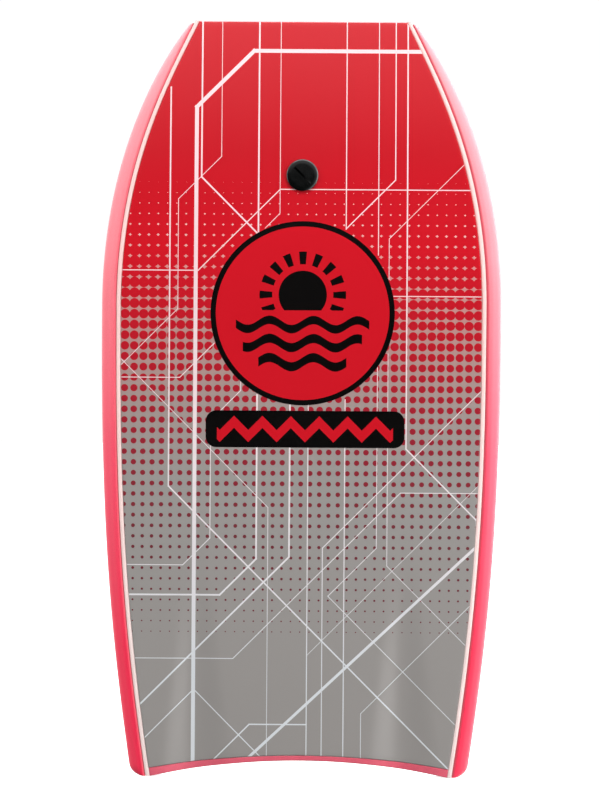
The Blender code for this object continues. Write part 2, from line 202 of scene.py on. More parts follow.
ZIGZAG_FROM = 200.0
ZIGZAG_HALF = (124.0, 8.5)

# Steps
ACROSS = 96
RAIL_SECTIONS = 170
CORNER_STEPS = 6
PROFILE_STEPS = 4
TIP_STEPS = 14
SLOT_STEPS = 20
END_STEPS = 6
FACE_STEPS = 150
TURNED_SIDES = 96
HOLE_SIDES = 64
ROD_SIDES = 48
LARGEST_CORNER_SHARE = 0.45  # of a side, that a rounded corner takes
CROWD = (0.0, 0.04, 0.14, 0.3, 0.5, 0.75, 1.0)  # shares of an edge's rounding

# Painted shade in the rail's groove beside the white strip: its first corner touches the white strip, and the
# next is its crest
PAINTED_SHADE_AT_CREST = 0.75
RAIL_PAINTED_SHADES = [1.0] * (CORNER_STEPS + 1)
RAIL_PAINTED_SHADES += [PAINTED_SHADE_AT_CREST * (1 - i / CORNER_STEPS) for i in range(CORNER_STEPS + 1)]

# Foam colours run from the tail's to the nose's between these heights. On the coral rails this paling towards
# the nose is painted top light
PALING_FROM = 0.18
PALING_TO = 1.0


# ---------------------------------------------------------------- outline


def bezier(points, t):
    a, b, c, d = points
    s = 1.0 - t
    return tuple(s**3 * a[i] + 3 * s * s * t * b[i] + 3 * s * t * t * c[i] + t**3 * d[i] for i in range(2))


def rail_line_points():
    """(half width, height) along the rail line, from the tail corner up to the nose corner."""
    lower = (
        (TAIL_HALF, TAIL_CORNER_RADIUS),
        (TAIL_HALF + TAIL_HANDLE[0], TAIL_CORNER_RADIUS + TAIL_HANDLE[1]),
        (WIDEST_HALF, WIDEST_AT - WIDEST_HANDLE_DOWN),
        (WIDEST_HALF, WIDEST_AT),
    )
    upper = (
        (WIDEST_HALF, WIDEST_AT),
        (WIDEST_HALF, WIDEST_AT + WIDEST_HANDLE_UP),
        (NOSE_HALF + NOSE_HANDLE[0], LENGTH - NOSE_HANDLE[1]),
        (NOSE_HALF, LENGTH),
    )
    steps = [i / BEZIER_STEPS for i in range(BEZIER_STEPS + 1)]
    return [bezier(lower, t) for t in steps] + [bezier(upper, t) for t in steps[1:]]


RAIL_LINE = rail_line_points()
LINE_CACHE = {}


def rail_line(z):
    """Half width at a height, before the corners are rounded."""
    key = round(z, 6)
    if key not in LINE_CACHE:
        LINE_CACHE[key] = NOSE_HALF
        for (x_low, z_low), (x_high, z_high) in zip(RAIL_LINE, RAIL_LINE[1:]):
            if z <= z_high:
                LINE_CACHE[key] = x_low + (x_high - x_low) * (z - z_low) / (z_high - z_low)
                break
    return LINE_CACHE[key]


def corner(radius, from_end):
    reach = max(0.0, radius - from_end)
    return radius - math.sqrt(radius**2 - reach**2)


def half_width(z):
    return rail_line(z) - corner(TAIL_CORNER_RADIUS, z) - corner(NOSE_CORNER_RADIUS, LENGTH - z)


def smooth(t):
    t = min(1.0, max(0.0, t))
    return t * t * (3.0 - 2.0 * t)


def print_edge(z):
    grown = 1.0 - math.exp(-(LENGTH - z) / EDGE_GROWS_OVER)
    return rail_line(z) - EDGE_AT_NOSE - (EDGE - EDGE_AT_NOSE) * grown


def deck_edge(z):
    return rail_line(z) - DECK_INSET


def tail_edge(x):
    return max(0.0, TAIL_HOLLOW * (1.0 - (x / TAIL_TIP_HALF) ** 2))


def tail_strip_top(x):
    share = min(1.0, (x / TAIL_TIP_HALF) ** 2)
    return tail_edge(x) + TAIL_STRIP_AT_CENTRE + (TAIL_STRIP_AT_TIPS - TAIL_STRIP_AT_CENTRE) * share


def layer_foot(x):
    return tail_strip_top(x) + GAP


def deck_foot(x):
    past = smooth((abs(x) - TAIL_TIP_HALF) / (deck_edge(0.0) - TAIL_TIP_HALF))
    return tail_edge(x) + GAP + DECK_CORNER * past


def nose_bend(z):
    past = max(0.0, z - NOSE_BEND_FROM) / (LENGTH - NOSE_BEND_FROM)
    return NOSE_LIFT * past**NOSE_BEND_POWER


def channel(x, z):
    share = min(1.0, max(0.0, z) / CHANNEL_LENGTH)
    half = CHANNEL_HALF_AT_TAIL + (CHANNEL_HALF_AT_FRONT - CHANNEL_HALF_AT_TAIL) * share
    half = min(half, rail_line(z) - CHINE_FROM - CHANNEL_CLEARANCE - CHANNEL_AT)
    across = abs(abs(x) - CHANNEL_AT) / half
    if z >= CHANNEL_LENGTH or across >= 1.0:
        return 0.0
    return CHANNEL_DEPTH * smooth(1.0 - z / CHANNEL_LENGTH) * 0.5 * (1.0 + math.cos(math.pi * across))


def slick_y(x, z):
    return BACK_OF_SLICK + nose_bend(z) + channel(x, z)


def thickness(z):
    below = max(0.0, FLAT_DECK[0] - z) / FLAT_DECK[0]
    above = max(0.0, z - FLAT_DECK[1]) / (LENGTH - FLAT_DECK[1])
    return MID_THICKNESS - TAIL_THINNER_BY * below**2 - NOSE_THINNER_BY * above**2


def deck_y(x, z):
    from_rail = rail_line(z) - abs(x)
    bevel = max(0.0, (CHINE_FROM - from_rail) / (CHINE_FROM - DECK_INSET))
    eased = bevel**2 / (bevel + CHINE_EASE) * (1.0 + CHINE_EASE)
    return BACK_OF_SLICK + nose_bend(z) + thickness(z) - CHINE_DROP * eased


def under_deck_skin(x, z):
    return deck_y(x, z) - DECK_SKIN - GAP


# ---------------------------------------------------------------- meshes


def new_object(name, mesh, finish):
    mesh.materials.clear()
    mesh.materials.append(finish)
    made = bpy.data.objects.new(name, mesh)
    bpy.context.scene.collection.objects.link(made)
    return made


def finished(piece):
    """The piece with its modifiers made real, in a plain mesh."""
    bpy.context.view_layer.update()
    graph = bpy.context.evaluated_depsgraph_get()
    mesh = bpy.data.meshes.new_from_object(piece.evaluated_get(graph))
    finish = piece.data.materials[0]
    piece.modifiers.clear()
    piece.data = mesh
    mesh.materials.clear()
    mesh.materials.append(finish)
    return piece


def place(piece, body, node, finish_slot):
    """Puts the piece on its body in place of its node."""
    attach(piece, body)
    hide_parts(node)
    return piece


def shade(mesh, sharp_over=40):
    mesh.shade_smooth()
    mesh.set_sharp_from_angle(angle=math.radians(sharp_over))


def solid_from(made, name, finish, sharp_over=40):
    """An object from a finished bmesh, which is freed."""
    mesh = bpy.data.meshes.new(name)
    made.to_mesh(mesh)
    made.free()
    shade(mesh, sharp_over)
    return new_object(name, mesh, finish)


def rounded_corner(before, here, after, radius, steps):
    """Points round a corner, from the side before it to the side after it."""
    back, ahead = before - here, after - here
    reach = min(radius, LARGEST_CORNER_SHARE * back.length, LARGEST_CORNER_SHARE * ahead.length)
    start = here + back.normalized() * reach
    end = here + ahead.normalized() * reach
    shares = [i / steps for i in range(steps + 1)]
    return [start * (1 - t) ** 2 + here * 2 * t * (1 - t) + end * t**2 for t in shares]


def round_over(radius, distance):
    """How far an edge rounded to a radius falls away, at a distance in from it."""
    reach = max(0.0, radius - distance)
    return radius - math.sqrt(max(0.0, radius**2 - reach**2))


def spread_count(count):
    return 2 * len(CROWD) + count - 1


def spread(k, length, radius, count):
    """The k-th distance along a length, with the first and last ones crowded into its rounded edges."""
    last = spread_count(count) - 1
    if k < len(CROWD):
        return radius * CROWD[k]
    if last - k < len(CROWD):
        return length - radius * CROWD[last - k]
    return radius + (length - 2 * radius) * (k - len(CROWD) + 1) / count


def sheet(name, finish, edge, low, high, front, back, radii, along=FACE_STEPS):
    """A closed layer. edge(z) is its half width, low(x) and high(x) its ends, front and back its faces' y,
    and radii the rounding of its front and back edges."""
    radius = max(radii)
    made = bmesh.new()
    grids = [[], []]
    for v in range(spread_count(along)):
        rows = [[], []]
        for u in range(spread_count(ACROSS)):
            x = 0.0
            for _ in range(5):  # its width hangs on its height, and its height on its place across
                foot, top = low(x), high(x)
                up = spread(v, top - foot, radius, along)
                z = foot + up
                half = edge(z)
                over = spread(u, 2 * half, radius, ACROSS)
                x = over - half
            from_side = min(over, 2 * half - over)
            from_end = min(up, top - foot - up)
            for row, face, rounding, way in zip(rows, (front, back), radii, (1, -1)):
                fall = max(round_over(rounding, from_side), round_over(rounding, from_end))
                row.append(made.verts.new((x, face(x, z) + way * fall, z)))
        for grid, row in zip(grids, rows):
            grid.append(row)
    f, b = grids
    last_row, last = len(f) - 1, len(f[0]) - 1
    for r in range(last_row):
        for k in range(last):
            made.faces.new((f[r][k], f[r][k + 1], f[r + 1][k + 1], f[r + 1][k]))
            made.faces.new((b[r][k], b[r + 1][k], b[r + 1][k + 1], b[r][k + 1]))
        made.faces.new((f[r][0], f[r + 1][0], b[r + 1][0], b[r][0]))
        made.faces.new((f[r][last], b[r][last], b[r + 1][last], f[r + 1][last]))
    for k in range(last):
        made.faces.new((f[0][k], b[0][k], b[0][k + 1], f[0][k + 1]))
        made.faces.new((f[last_row][k], f[last_row][k + 1], b[last_row][k + 1], b[last_row][k]))
    return solid_from(made, name, finish, 50)


def rounded_ring(corners):
    """A closed ring of points round (x, y, radius) corners, each with the same number of points."""
    ring = []
    spots = [Vector(spot[:2]) for spot in corners]
    for k, (_, _, radius) in enumerate(corners):
        ring += rounded_corner(spots[k - 1], spots[k], spots[(k + 1) % len(spots)], radius, CORNER_STEPS)
    return ring


def loft(name, finish, sections, end_bevel, painted_seam_shade=()):
    """A closed solid through (height, ring) sections, with its two end edges rounded. The last argument is
    the painted shade of each point of a ring, from 0 to 1, kept in a vertex attribute."""
    made = bmesh.new()
    dark = made.verts.layers.float.new("painted_seam_shade")
    rings = [[made.verts.new((p[0], p[1], z)) for p in ring] for z, ring in sections]
    count = len(rings[0])
    for lower, upper in zip(rings, rings[1:]):
        for k in range(count):
            n = (k + 1) % count
            made.faces.new((lower[k], lower[n], upper[n], upper[k]))
    ends = [made.faces.new(rings[0][::-1]), made.faces.new(rings[-1])]
    for ring in rings:
        for vert, share in zip(ring, painted_seam_shade):
            vert[dark] = share
    edges = {edge for face in ends for edge in face.edges}
    bmesh.ops.bevel(made, geom=list(edges), offset=end_bevel, segments=3, profile=0.5, affect="EDGES")
    bmesh.ops.recalc_face_normals(made, faces=made.faces[:])
    return solid_from(made, name, finish, 35)


def heights(low, high, count):
    """Heights that crowd towards both ends."""
    return [low + (high - low) * (1.0 - math.cos(math.pi * i / count)) / 2 for i in range(count + 1)]


# ---------------------------------------------------------------- shader maths


class Sums:
    """Adds maths nodes to one material's tree."""

    def __init__(self, tree):
        self.tree = tree

    def node(self, kind, **settings):
        made = self.tree.nodes.new(kind)
        for key, value in settings.items():
            setattr(made, key, value)
        return made

    def feed(self, socket, value):
        if isinstance(value, bpy.types.NodeSocket):
            self.tree.links.new(value, socket)
        else:
            socket.default_value = value

    def do(self, operation, *values):
        made = self.node("ShaderNodeMath", operation=operation)
        for socket, value in zip(made.inputs, values):
            self.feed(socket, value)
        return made.outputs[0]

    def split(self, place):
        made = self.node("ShaderNodeSeparateXYZ")
        self.feed(made.inputs[0], place)
        return made.outputs

    def ranged(self, value, low, high, to_low, to_high, **settings):
        """The value carried from one range to another, and held at its ends."""
        made = self.node("ShaderNodeMapRange", **settings)
        self.feed(made.inputs["Value"], value)
        for key, limit in (("From Min", low), ("From Max", high), ("To Min", to_low), ("To Max", to_high)):
            made.inputs[key].default_value = limit
        return made.outputs[0]

    def distance(self, x, z):
        return self.do("SQRT", self.do("ADD", self.do("POWER", x, 2.0), self.do("POWER", z, 2.0)))

    def scaled(self, colour, share):
        made = self.node("ShaderNodeVectorMath", operation="SCALE")
        self.feed(made.inputs[0], colour)
        self.feed(made.inputs["Scale"], share)
        return made.outputs[0]

    def slanted(self, x, z, degrees):
        """Distances across and along a direction that is turned from X towards Z."""
        cosine, sine = math.cos(math.radians(degrees)), math.sin(math.radians(degrees))
        along = self.do("MULTIPLY_ADD", z, sine, self.do("MULTIPLY", x, cosine))
        across = self.do("MULTIPLY_ADD", z, cosine, self.do("MULTIPLY", x, -sine))
        return across, along

    def within(self, value, middle, reach):
        """1 where a value is within reach of a middle, and 0 elsewhere."""
        return self.do("COMPARE", value, middle, reach)

    def any_of(self, masks):
        """1 where at least one mask is 1, joined in pairs."""
        while len(masks) > 1:
            pairs = [self.do("MAXIMUM", a, b) for a, b in zip(masks[::2], masks[1::2])]
            masks = pairs + masks[len(pairs) * 2 :]
        return masks[0]

    def mix(self, share, a, b):
        made = self.node("ShaderNodeMix", data_type="RGBA")
        for index, value in ((0, share), (6, a), (7, b)):
            self.feed(made.inputs[index], value)
        return made.outputs[2]

    def ramp(self, value, low, high, colours):
        """A colour that runs evenly through the colours from low to high."""
        share = self.ranged(value, low, high, 0.0, 1.0)
        made = self.node("ShaderNodeValToRGB")
        elements = made.color_ramp.elements
        while len(elements) < len(colours):
            elements.new(0.5)
        for k, colour in enumerate(colours):
            elements[k].position = k / (len(colours) - 1)
            elements[k].color = colour
        self.feed(made.inputs[0], share)
        return made.outputs[0]

    def noise(self, place, scale, detail=3.0, roughness=0.5):
        made = self.node("ShaderNodeTexNoise")
        self.feed(made.inputs["Vector"], place)
        made.inputs["Scale"].default_value = scale
        made.inputs["Detail"].default_value = detail
        made.inputs["Roughness"].default_value = roughness
        return made.outputs[0]

    def cells(self, place, scale):
        made = self.node("ShaderNodeTexVoronoi")
        self.feed(made.inputs["Vector"], place)
        made.inputs["Scale"].default_value = scale
        return made.outputs["Distance"]

    def bump(self, height, strength, distance, under=None):
        made = self.node("ShaderNodeBump")
        made.inputs["Strength"].default_value = strength
        made.inputs["Distance"].default_value = distance
        self.feed(made.inputs["Height"], height)
        if under is not None:
            self.feed(made.inputs["Normal"], under)
        return made.outputs[0]


def srgb(*levels):
    """A colour from 0 to 255 levels as a screen shows them."""
    shares = [level / 255 for level in levels]
    return tuple(s / 12.92 if s <= 0.04045 else ((s + 0.055) / 1.055) ** 2.4 for s in shares) + (1.0,)


def new_finish(name, **constants):
    """A material with its shader's constants set. Returns it with its maths, shader and object place."""
    made = bpy.data.materials.new(name)
    made.use_nodes = True
    sums = Sums(made.node_tree)
    shader = made.node_tree.nodes["Principled BSDF"]
    for key, value in constants.items():
        shader.inputs[key.replace("_", " ")].default_value = value
    place = sums.node("ShaderNodeTexCoord").outputs["Object"]
    return made, sums, shader, place


FOAM_CELLS = 1100.0  # to a metre
FOAM_GRAIN = 660.0
FOAM_CELL_DEPTH = 0.10 * MM
FOAM_DENT_DEPTH = 0.5 * MM


def foam(name, colours, dark, roughness, **constants):
    """Closed-cell foam: fine cells, a slow drift in its shade and a few pressed marks. A single colour drifts
    to the dark one. Several run from the tail to the nose, which on the coral rails is painted top light, and
    go to the dark one by the seam attribute, which paints shade into the groove beside the white strip."""
    made, sums, shader, place = new_finish(name, **constants)
    drift = sums.noise(place, 9.0, 4.0, 0.55)
    grain = sums.noise(place, FOAM_GRAIN, 2.0)
    if len(colours) > 1:
        # the seam attribute is painted shade: it darkens the rail's groove beside the white strip
        painted_seam_shade = sums.node("ShaderNodeAttribute", attribute_name="painted_seam_shade").outputs["Fac"]
        colour = sums.mix(painted_seam_shade, sums.ramp(sums.split(place)["Z"], PALING_FROM, PALING_TO, colours), dark)
    else:
        colour = sums.mix(sums.do("MULTIPLY_ADD", drift, 1.6, -0.3), colours[0], dark)
    speck = sums.do("MULTIPLY_ADD", grain, 0.24, 0.88)
    slow = sums.do("MULTIPLY_ADD", drift, 0.12, 0.94)
    sums.feed(shader.inputs["Base Color"], sums.scaled(colour, sums.do("MULTIPLY", speck, slow)))
    sums.feed(shader.inputs["Roughness"], sums.do("MULTIPLY_ADD", grain, 0.16, roughness - 0.08))
    dents = sums.bump(sums.noise(place, 55.0, 2.0), 0.35, FOAM_DENT_DEPTH)
    sums.feed(shader.inputs["Normal"], sums.bump(sums.cells(place, FOAM_CELLS), 0.5, FOAM_CELL_DEPTH, dents))
    return made


def dot_screen(sums, x, z):
    """The print's dots, in rows that grow with height."""
    middle = []
    for value, first, step in ((x, DOT_FIRST[0], DOT_COLUMN), (z, DOT_FIRST[1], DOT_ROW)):
        from_first = sums.do("SUBTRACT", value, first)
        nearest = sums.do("MULTIPLY", sums.do("ROUND", sums.do("DIVIDE", from_first, step)), step)
        middle.append((sums.do("SUBTRACT", from_first, nearest), nearest))
    (off_x, _), (off_z, row) = middle
    row_height = sums.do("ADD", row, DOT_FIRST[1])
    above_foot = sums.do("SUBTRACT", row_height, DOTS_FROM)
    even = sums.do("MULTIPLY_ADD", above_foot, DOT_GROWS, DOT_RADIUS_AT_FOOT)
    more = sums.do("MAXIMUM", sums.do("SUBTRACT", row_height, DOT_GROWS_MORE_FROM), 0.0)
    radius = sums.do("MULTIPLY_ADD", more, DOT_GROWS_MORE, even)
    shown = sums.do("GREATER_THAN", row_height, DOTS_FROM)
    return sums.do("MULTIPLY", sums.do("LESS_THAN", sums.distance(off_x, off_z), radius), shown)


def print_lines(sums, x, z):
    """The print's white lines. Those that share a direction share its two distances."""
    directions = {}
    masks = []
    for width, points in STROKES:
        for start, end in zip(points, points[1:]):
            degrees = round(math.degrees(math.atan2(end[1] - start[1], end[0] - start[0])) % 180, 1)
            if degrees not in directions:
                directions[degrees] = sums.slanted(x, z, degrees)
            across, along = directions[degrees]
            cosine, sine = math.cos(math.radians(degrees)), math.sin(math.radians(degrees))
            middle_x, middle_z = ((a + b) / 2 for a, b in zip(start, end))
            half_length = math.dist(start, end) / 2 + width * STROKE_END
            inside = sums.within(along, middle_x * cosine + middle_z * sine, half_length)
            line = sums.within(across, middle_z * cosine - middle_x * sine, width / 2)
            masks.append(sums.do("MULTIPLY", inside, line))
    return sums.any_of(masks)


def badge_print(sums, x, z):
    """The round badge, and the black on it: a ring, a rising sun and three waves."""
    x = sums.do("SUBTRACT", x, BADGE_AT[0])
    z = sums.do("SUBTRACT", z, BADGE_AT[1])
    from_middle = sums.distance(x, z)
    badge = sums.do("LESS_THAN", from_middle, BADGE_RADIUS)
    ring = sums.within(from_middle, BADGE_RADIUS - BADGE_RING / 2, BADGE_RING / 2)
    sun_z = sums.do("SUBTRACT", z, SUN_RISE)
    from_sun = sums.distance(x, sun_z)
    above_water = sums.do("GREATER_THAN", z, WATERLINE)
    sun = sums.do("MULTIPLY", sums.do("LESS_THAN", from_sun, SUN_RADIUS), above_water)
    turn = sums.do("MULTIPLY", sums.do("ARCTAN2", sun_z, x), float(SUN_RAYS))
    spokes = sums.do("GREATER_THAN", sums.do("COSINE", turn), SUN_RAYS_THINNER)
    ray_band = sums.within(from_sun, SUN_RAYS_MIDDLE, SUN_RAYS_HALF)
    rays = sums.do("MULTIPLY", sums.do("MULTIPLY", spokes, ray_band), above_water)
    swell = sums.do("SINE", sums.do("MULTIPLY", x, math.tau / WAVE_LENGTH))
    waves = []
    for level, half_thick, half_length in WAVES:
        crest = sums.do("SUBTRACT", z, sums.do("MULTIPLY_ADD", swell, WAVE_HEIGHT, level))
        wave = sums.within(crest, 0.0, half_thick)
        waves.append(sums.do("MULTIPLY", wave, sums.within(x, 0.0, half_length)))
    return badge, sums.any_of([ring, sun, rays, *waves])


def banner_print(sums, x, z):
    """The black bar with rounded ends below the badge, and the red zigzag on it."""
    x = sums.do("SUBTRACT", x, BANNER_AT[0])
    z = sums.do("SUBTRACT", z, BANNER_AT[1])
    past = []
    for value, half in zip((x, z), BANNER_HALF):
        beyond = sums.do("SUBTRACT", sums.do("ABSOLUTE", value), half - BANNER_CORNER)
        past.append(sums.do("MAXIMUM", beyond, 0.0))
    banner = sums.do("LESS_THAN", sums.distance(*past), BANNER_CORNER)
    wander = sums.do("PINGPONG", sums.do("ADD", x, ZIGZAG_FROM), ZIGZAG_RISE)
    slope = sums.do("SUBTRACT", z, sums.do("SUBTRACT", wander, ZIGZAG_RISE / 2))
    zigzag = sums.do("MULTIPLY", sums.within(x, 0.0, ZIGZAG_HALF[0]), sums.within(slope, 0.0, ZIGZAG_HALF[1]))
    return banner, sums.do("MULTIPLY", zigzag, banner)


def printed_slick():
    """The slick's print under its clear gloss: dots that grow into solid red, lines, a badge and a banner."""
    made, sums, shader, place = new_finish("printed slick", Coat_Weight=0.2, Coat_Roughness=0.2,
                                           Specular_IOR_Level=0.3)
    spot = sums.split(place)
    x = sums.do("MULTIPLY", spot["X"], 1000.0)
    z = sums.do("MULTIPLY", spot["Z"], 1000.0)
    badge, badge_black = badge_print(sums, x, z)
    banner, zigzag = banner_print(sums, x, z)

    grey_to_pink = [srgb(157, 153, 150), srgb(163, 148, 144), srgb(182, 139, 135), srgb(216, 142, 140),
                    srgb(255, 218, 214)]
    plum_to_red = [srgb(114, 50, 58), srgb(152, 38, 52), srgb(186, 28, 42), srgb(207, 24, 38),
                   srgb(192, 20, 33)]
    whites = [srgb(222, 226, 230), srgb(238, 228, 230), srgb(246, 214, 218)]
    red = sums.mix(sums.noise(place, 3.0, 2.0), srgb(210, 24, 38), srgb(202, 22, 36))
    black = srgb(2, 1, 1)
    colour = sums.ramp(z, 420.0, 830.0, grey_to_pink)
    colour = sums.mix(dot_screen(sums, x, z), colour, sums.ramp(z, 340.0, 880.0, plum_to_red))
    colour = sums.mix(print_lines(sums, x, z), colour, sums.ramp(z, 150.0, 700.0, whites))
    for mask, ink in ((badge, red), (badge_black, black), (banner, black), (zigzag, red)):
        colour = sums.mix(mask, colour, ink)
    sums.feed(shader.inputs["Base Color"], colour)

    # surface: fine orange peel, slow ripples and faint smears in the gloss
    smear = sums.noise(place, 7.0, 5.0, 0.6)
    sums.feed(shader.inputs["Roughness"], sums.do("MULTIPLY_ADD", smear, 0.14, 0.14))
    ripple = sums.bump(sums.noise(place, 14.0, 2.0), 0.12, 1.2 * MM)
    sums.feed(shader.inputs["Normal"], sums.bump(sums.noise(place, 900.0, 2.0), 0.10, 0.05 * MM, ripple))
    return made


DIAMOND_PITCH = 2.6 * MM


def deck_foam():
    """The deck's skin: charcoal foam pressed with a fine diamond pattern."""
    made, sums, shader, place = new_finish("charcoal foam", Specular_IOR_Level=0.35)
    spot = sums.split(place)
    slants = []
    for way in ("ADD", "SUBTRACT"):
        phase = sums.do("MULTIPLY", sums.do(way, spot["X"], spot["Z"]), math.tau / DIAMOND_PITCH)
        slants.append(sums.do("ABSOLUTE", sums.do("SINE", phase)))
    pressed = sums.do("MAXIMUM", *slants)
    drift = sums.noise(place, 6.0, 4.0, 0.55)
    grain = sums.noise(place, 800.0, 2.0)
    colour = sums.mix(drift, srgb(55, 56, 59), srgb(47, 48, 51))
    shadowed = sums.do("MULTIPLY_ADD", pressed, 0.35, 0.70)
    sums.feed(shader.inputs["Base Color"], sums.scaled(colour, sums.do("MULTIPLY_ADD", grain, 0.2, shadowed)))
    sums.feed(shader.inputs["Roughness"], sums.do("MULTIPLY_ADD", drift, 0.2, 0.55))
    dents = sums.bump(sums.noise(place, 40.0, 2.0), 0.3, 0.6 * MM)
    sums.feed(shader.inputs["Normal"], sums.bump(pressed, 0.6, 0.25 * MM, dents))
    return made


def moulded_plastic():
    """Black moulded plastic with a fine eroded grain and light scuffs, polished inside the coin slot, where
    its colour is also painted darker as shade.
    """
    made, sums, shader, place = new_finish("black plastic", Specular_IOR_Level=0.38)
    spot = sums.split(place)
    across, along = sums.slanted(spot["X"], sums.do("SUBTRACT", spot["Z"], PLUG_HEIGHT), SLOT_TURN)
    inside = sums.within(along, 0.0, SLOT_LENGTH / 2), sums.within(across, 0.0, SLOT_WIDTH / 2)
    outer_face = sums.do("LESS_THAN", spot["Y"], slick_y(0.0, PLUG_HEIGHT))
    slot = sums.do("MULTIPLY", sums.do("MULTIPLY", *inside), outer_face)
    grain = sums.noise(place, 2600.0, 3.0, 0.6)
    scuff = sums.noise(place, 160.0, 5.0, 0.7)
    black = sums.mix(scuff, srgb(3, 4, 4), srgb(9, 10, 10))
    # inside the slot the colour goes darker still: painted shade in the recess
    sums.feed(shader.inputs["Base Color"], sums.mix(slot, black, srgb(1, 1, 1)))
    polish = sums.do("MULTIPLY_ADD", scuff, 0.16, 0.08)
    sums.feed(shader.inputs["Roughness"], sums.do("MULTIPLY", polish, sums.do("SUBTRACT", 1.0, slot)))
    sums.feed(shader.inputs["Normal"], sums.bump(grain, 0.2, 0.03 * MM))
    return made


def soft_rubber():
    made, sums, shader, place = new_finish("black rubber")
    grain = sums.noise(place, 1800.0, 3.0)
    sums.feed(shader.inputs["Base Color"], sums.mix(grain, srgb(24, 24, 25), srgb(40, 40, 41)))
    sums.feed(shader.inputs["Roughness"], sums.do("MULTIPLY_ADD", grain, 0.2, 0.6))
    sums.feed(shader.inputs["Normal"], sums.bump(grain, 0.3, 0.05 * MM))
    return made


def drawn_steel():
    """Stainless steel with fine lines round the rod."""
    made, sums, shader, place = new_finish("stainless steel", Metallic=1.0)
    stretch = sums.node("ShaderNodeMapping")
    stretch.inputs["Scale"].default_value = (9000.0, 500.0, 500.0)
    sums.feed(stretch.inputs[0], place)
    lines = sums.noise(stretch.outputs[0], 1.0, 3.0)
    sums.feed(shader.inputs["Base Color"], sums.mix(lines, srgb(178, 180, 182), srgb(204, 205, 206)))
    sums.feed(shader.inputs["Roughness"], sums.do("MULTIPLY_ADD", lines, 0.18, 0.18))
    sums.feed(shader.inputs["Normal"], sums.bump(lines, 0.2, 0.01 * MM))
    return made


def bead_foam():
    """Fused foam beads, as a cut through the core shows them."""
    made, sums, shader, place = new_finish("white bead foam")
    beads = sums.cells(place, 260.0)
    sums.feed(shader.inputs["Base Color"], sums.mix(beads, srgb(240, 240, 236), srgb(206, 206, 202)))
    sums.feed(shader.inputs["Roughness"], sums.do("MULTIPLY_ADD", beads, 0.2, 0.7))
    sums.feed(shader.inputs["Normal"], sums.bump(beads, 0.6, 0.4 * MM))
    return made


# ---------------------------------------------------------------- plug


def plug_place():
    """The turn and place of the plug's axis, which points straight out of the slick."""
    step = 0.001
    rise = (slick_y(0.0, PLUG_HEIGHT + step) - slick_y(0.0, PLUG_HEIGHT - step)) / (2 * step)
    outward = Vector((0.0, -1.0, rise)).normalized()
    across = Vector((1.0, 0.0, 0.0))
    turn = Matrix((across, outward.cross(across), outward)).transposed().to_4x4()
    return Matrix.Translation((0.0, slick_y(0.0, PLUG_HEIGHT), PLUG_HEIGHT)) @ turn


def rounded_profile(points, closed):
    """(radius, height, rounding) points with each corner rounded."""
    ring = []
    spots = [Vector(point[:2]) for point in points]
    for k, (_, _, rounding) in enumerate(points):
        at_an_end = not closed and k in (0, len(points) - 1)
        if rounding == 0.0 or at_an_end:
            ring.append(spots[k])
        else:
            after = spots[(k + 1) % len(spots)]
            ring += rounded_corner(spots[k - 1], spots[k], after, rounding, PROFILE_STEPS)
    return ring


ON_AXIS = 1e-7  # a smaller radius is a single point


def turned(name, points, finish, sides=TURNED_SIDES):
    """A closed turned solid through (radius, height, rounding) points, on the plug's axis."""
    made = bmesh.new()
    profile = rounded_profile(points, closed=points[0][0] > 0.0)
    rings = []
    for radius, height in profile:
        angles = [math.tau * k / sides for k in range(sides if radius > ON_AXIS else 1)]
        rings.append([made.verts.new((radius * math.cos(a), radius * math.sin(a), height)) for a in angles])
    for lower, upper in zip(rings, rings[1:] + rings[:1]):
        if len(lower) == len(upper) == 1:
            continue
        for k in range(sides):
            n = (k + 1) % sides
            # a ring on the axis is a single point, which its faces hold once
            corners = [ring[i % len(ring)] for ring, i in ((lower, k), (lower, n), (upper, n), (upper, k))]
            made.faces.new(list(dict.fromkeys(corners)))
    bmesh.ops.recalc_face_normals(made, faces=made.faces[:])
    return solid_from(made, name, finish)


def cut_out(piece, cutter):
    """Takes the cutter out of the piece and removes it."""
    modifier = piece.modifiers.new("cut", "BOOLEAN")
    modifier.object = cutter
    modifier.operation = "DIFFERENCE"
    modifier.solver = "EXACT"
    finished(piece)
    bpy.data.objects.remove(cutter)
    shade(piece.data)
    return piece


def rod(name, radius, length, centre, finish):
    """A rod along X, with its end edges rounded."""
    made = bmesh.new()
    turn = Matrix.Translation(centre) @ Matrix.Rotation(math.radians(90), 4, "Y")
    bmesh.ops.create_cone(made, cap_ends=True, segments=ROD_SIDES, radius1=radius, radius2=radius,
                          depth=length, matrix=turn)
    rims = [e for e in made.edges if max(len(f.verts) for f in e.link_faces) > 4]
    bmesh.ops.bevel(made, geom=rims, offset=radius * 0.15, segments=2, profile=0.5, affect="EDGES")
    return solid_from(made, name, finish)


def slot_tool(finish):
    """The coin slot's cutter: a bar with round ends and a dished floor."""
    made = bmesh.new()
    half = SLOT_LENGTH / 2
    rows = []
    for k in range(SLOT_STEPS + 1):
        along = half * math.cos(math.pi * (1 - k / SLOT_STEPS))
        share = math.sqrt(max(0.0, 1 - (along / half) ** 8))
        wide = max(SLOT_LEAST_SHARE, share) * SLOT_WIDTH / 2
        dish = math.sqrt(max(0.0, 1 - (along / half) ** 2))
        deep = SLOT_DEPTH * (SLOT_END_DEPTH + (1.0 - SLOT_END_DEPTH) * dish)
        low, high = CAP_TOP - deep, CAP_TOP + SLOT_DEPTH
        ring = [(along, -wide, low), (along, wide, low), (along, wide, high), (along, -wide, high)]
        rows.append([made.verts.new(p) for p in ring])
    for a, b in zip(rows, rows[1:]):
        for k in range(4):
            n = (k + 1) % 4
            made.faces.new((a[k], a[n], b[n], b[k]))
    made.faces.new(rows[0][::-1])
    made.faces.new(rows[-1])
    bmesh.ops.recalc_face_normals(made, faces=made.faces[:])
    made.transform(Matrix.Rotation(math.radians(SLOT_TURN), 4, "Z"))
    return solid_from(made, "slot_tool", finish)


